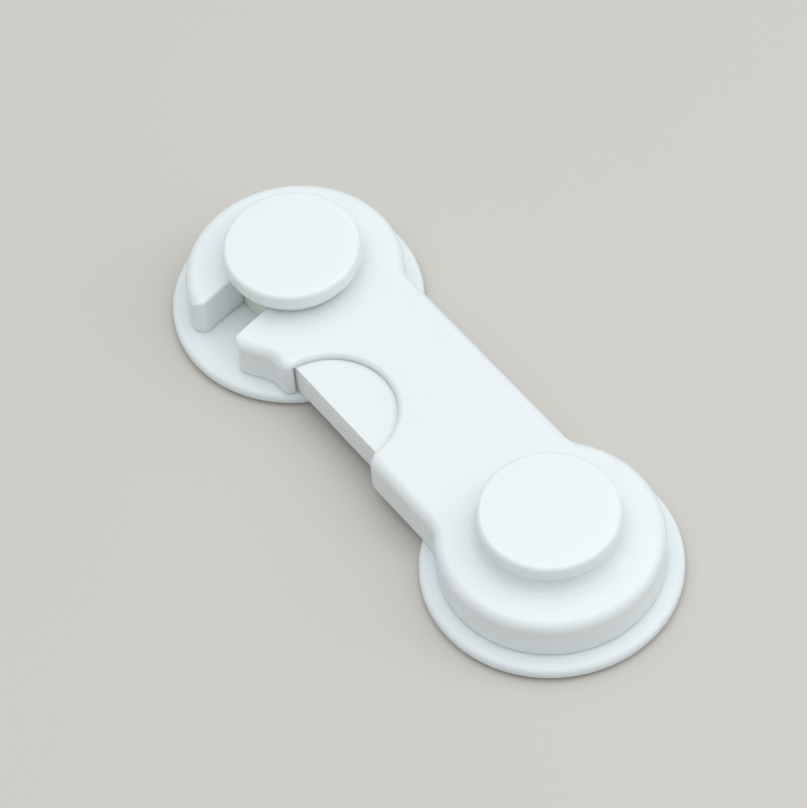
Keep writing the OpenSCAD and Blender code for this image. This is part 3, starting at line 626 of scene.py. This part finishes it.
def level_faces(mesh):
    """Keeps the shading of level faces quite flat, up to their edges."""
    normals = [corner.vector.copy() for corner in mesh.corner_normals]
    for face in mesh.polygons:
        if abs(face.normal.z) > 0.9999:
            for loop in face.loop_indices:
                normals[loop] = face.normal.copy()
    mesh.normals_split_custom_set(normals)


def moulded(name, node, body, slot, roundings, rows=()):
    """Piece from a node's faces, its edges rounded by (size in mm, steps, test on an edge's middle and turn).
    Rows are places along X where an edge goes round the piece, to keep a corner's shading near the corner."""
    bm = bmesh.new()
    bm.from_mesh(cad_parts[node].data)
    bmesh.ops.remove_doubles(bm, verts=bm.verts, dist=0.001*MM)
    bmesh.ops.dissolve_degenerate(bm, dist=0.001*MM, edges=bm.edges)
    bmesh.ops.dissolve_limit(bm, angle_limit=radians(0.3), verts=bm.verts, edges=bm.edges)
    for x in rows:
        bmesh.ops.bisect_plane(bm, geom=[*bm.verts, *bm.edges, *bm.faces], dist=0.0001*MM,
                               plane_co=(x*MM, 0, 0), plane_no=(1, 0, 0))
    for size, steps, chosen in roundings:
        edges = [e for e in bm.edges if len(e.link_faces) == 2 and chosen(e)]
        bmesh.ops.bevel(bm, geom=edges, offset=size*MM, offset_type="OFFSET", segments=steps, profile=0.5,
                        affect="EDGES", clamp_overlap=False, miter_outer="SHARP", miter_inner="SHARP")
        bmesh.ops.remove_doubles(bm, verts=bm.verts, dist=0.001*MM)
    mesh = bpy.data.meshes.new(name)
    bm.to_mesh(mesh)
    bm.free()
    mesh.polygons.foreach_set("use_smooth", [True]*len(mesh.polygons))
    obj = link_object(name, mesh)
    even = obj.modifiers.new("even_shading", "WEIGHTED_NORMAL")
    even.keep_sharp = True
    even.weight = 100
    mesh.set_sharp_from_angle(angle=radians(44))
    settle(obj, even)
    level_faces(obj.data)
    return dress(obj, body, slot, node)


def is_sharp(edge):
    return edge.calc_face_angle_signed() > SHARP


def is_square(edge):
    """Outer edge between two faces that both face along an axis."""
    return is_sharp(edge) and all(max(abs(c) for c in f.normal) > 0.999 for f in edge.link_faces)


def is_level(edge, z):
    return all(abs(v.co.z/MM - z) < 0.02 for v in edge.verts)


def arm_foot(edge):
    return is_sharp(edge) and is_level(edge, ARM_Z)


ARM_ROWS = (16, 22, 27, 28, 55.5, 56.2)
moulded("lock_arm", "arm_shell", "arm", "arm_plastic", [(0.06, 2, arm_foot)], ARM_ROWS)
moulded("arm_underside_cover", "arm_bottom_cover", "arm", "cover_plastic", [(0.2, 2, arm_foot)])
moulded("thumb_trigger", "release_trigger", "trigger", "trigger_plastic", [(0.1, 2, is_square)])
moulded("latch_stub", "latch_post", "bases", "post_plastic", [(0.3, 2, is_sharp)])
moulded("sliding_bolt", "lock_bolt", "bolt", "post_plastic", [(0.25, 2, is_square)])


# Floor, light and camera

def pale_floor():
    material, tree, shader = new_material("pale_floor")
    place = put(tree, "ShaderNodeTexCoord").outputs["Object"]
    cloud = put(tree, "ShaderNodeTexNoise", None, {"Vector": place, "Scale": 6.0, "Detail": 3.0}).outputs["Fac"]
    tone = blend_colour(tree, cloud, (0.62, 0.585, 0.545), (0.66, 0.625, 0.585))
    tree.links.new(tone, shader.inputs["Base Color"])
    shader.inputs["Roughness"].default_value = 0.6
    return material


floor_mesh = bpy.data.meshes.new("floor")
FLOOR = 3.0
floor_mesh.from_pydata([(x*FLOOR, y*FLOOR, 0) for x, y in ((-1, -1), (1, -1), (1, 1), (-1, 1))], [], [(0, 1, 2, 3)])
floor = link_object("floor", floor_mesh)
floor_mesh.materials.append(pale_floor())

world = bpy.data.worlds.new("studio")
world.use_nodes = True
bpy.context.scene.world = world
sky = world.node_tree
direction = put(sky, "ShaderNodeTexCoord").outputs["Generated"]
bearing_up = put(sky, "ShaderNodeSeparateXYZ", None, {0: direction}).outputs["Z"]
glow = put(sky, "ShaderNodeMapRange", None, {"Value": bearing_up, "To Min": 0.3, "To Max": 0.78}).outputs["Result"]
sky.nodes["Background"].inputs["Color"].default_value = (0.93, 0.98, 1.0, 1.0)
sky.links.new(glow, sky.nodes["Background"].inputs["Strength"])

MIDDLE = Vector((0.035, 0.0, 0.008))


def soft_box(name, place, size, power, colour):
    lamp = bpy.data.lights.new(name, "AREA")
    lamp.shape = "RECTANGLE"
    lamp.size, lamp.size_y = size
    lamp.energy = power
    lamp.color = colour
    obj = bpy.data.objects.new(name, lamp)
    obj.location = place
    obj.rotation_euler = (Vector(place) - MIDDLE).to_track_quat("Z", "Y").to_euler()
    bpy.context.scene.collection.objects.link(obj)


soft_box("top_soft_box", (0.02, -0.02, 0.75), (1.0, 1.0), 2.85, (1.0, 0.99, 0.98))
soft_box("side_soft_box", (-0.35, -0.5, 0.45), (0.5, 0.5), 0.9, (0.94, 0.98, 1.0))

lens_data = bpy.data.cameras.new("camera")
lens_data.sensor_width = 36
lens_data.lens = 169.3
lens_data.shift_x, lens_data.shift_y = -0.0228, 0.0327
lens_data.clip_start, lens_data.clip_end = 0.01, 20
camera = bpy.data.objects.new("camera", lens_data)
bpy.context.scene.collection.objects.link(camera)
EYE = Vector((-0.2802, 0.2022, 0.5089))
BEARING, ROLL = radians(-122.68), radians(-5.25)
BACK = Vector((-0.4994, 0.3204, 0.8050)).normalized()
level = Vector((cos(BEARING), sin(BEARING), 0))
upward = BACK.cross(level)
right = level*cos(ROLL) + upward*sin(ROLL)
top = upward*cos(ROLL) - level*sin(ROLL)
camera.matrix_world = Matrix.Translation(EYE) @ Matrix((right, top, BACK)).transposed().to_4x4()
bpy.context.scene.camera = camera
bpy.context.scene.view_settings.view_transform = "Standard"
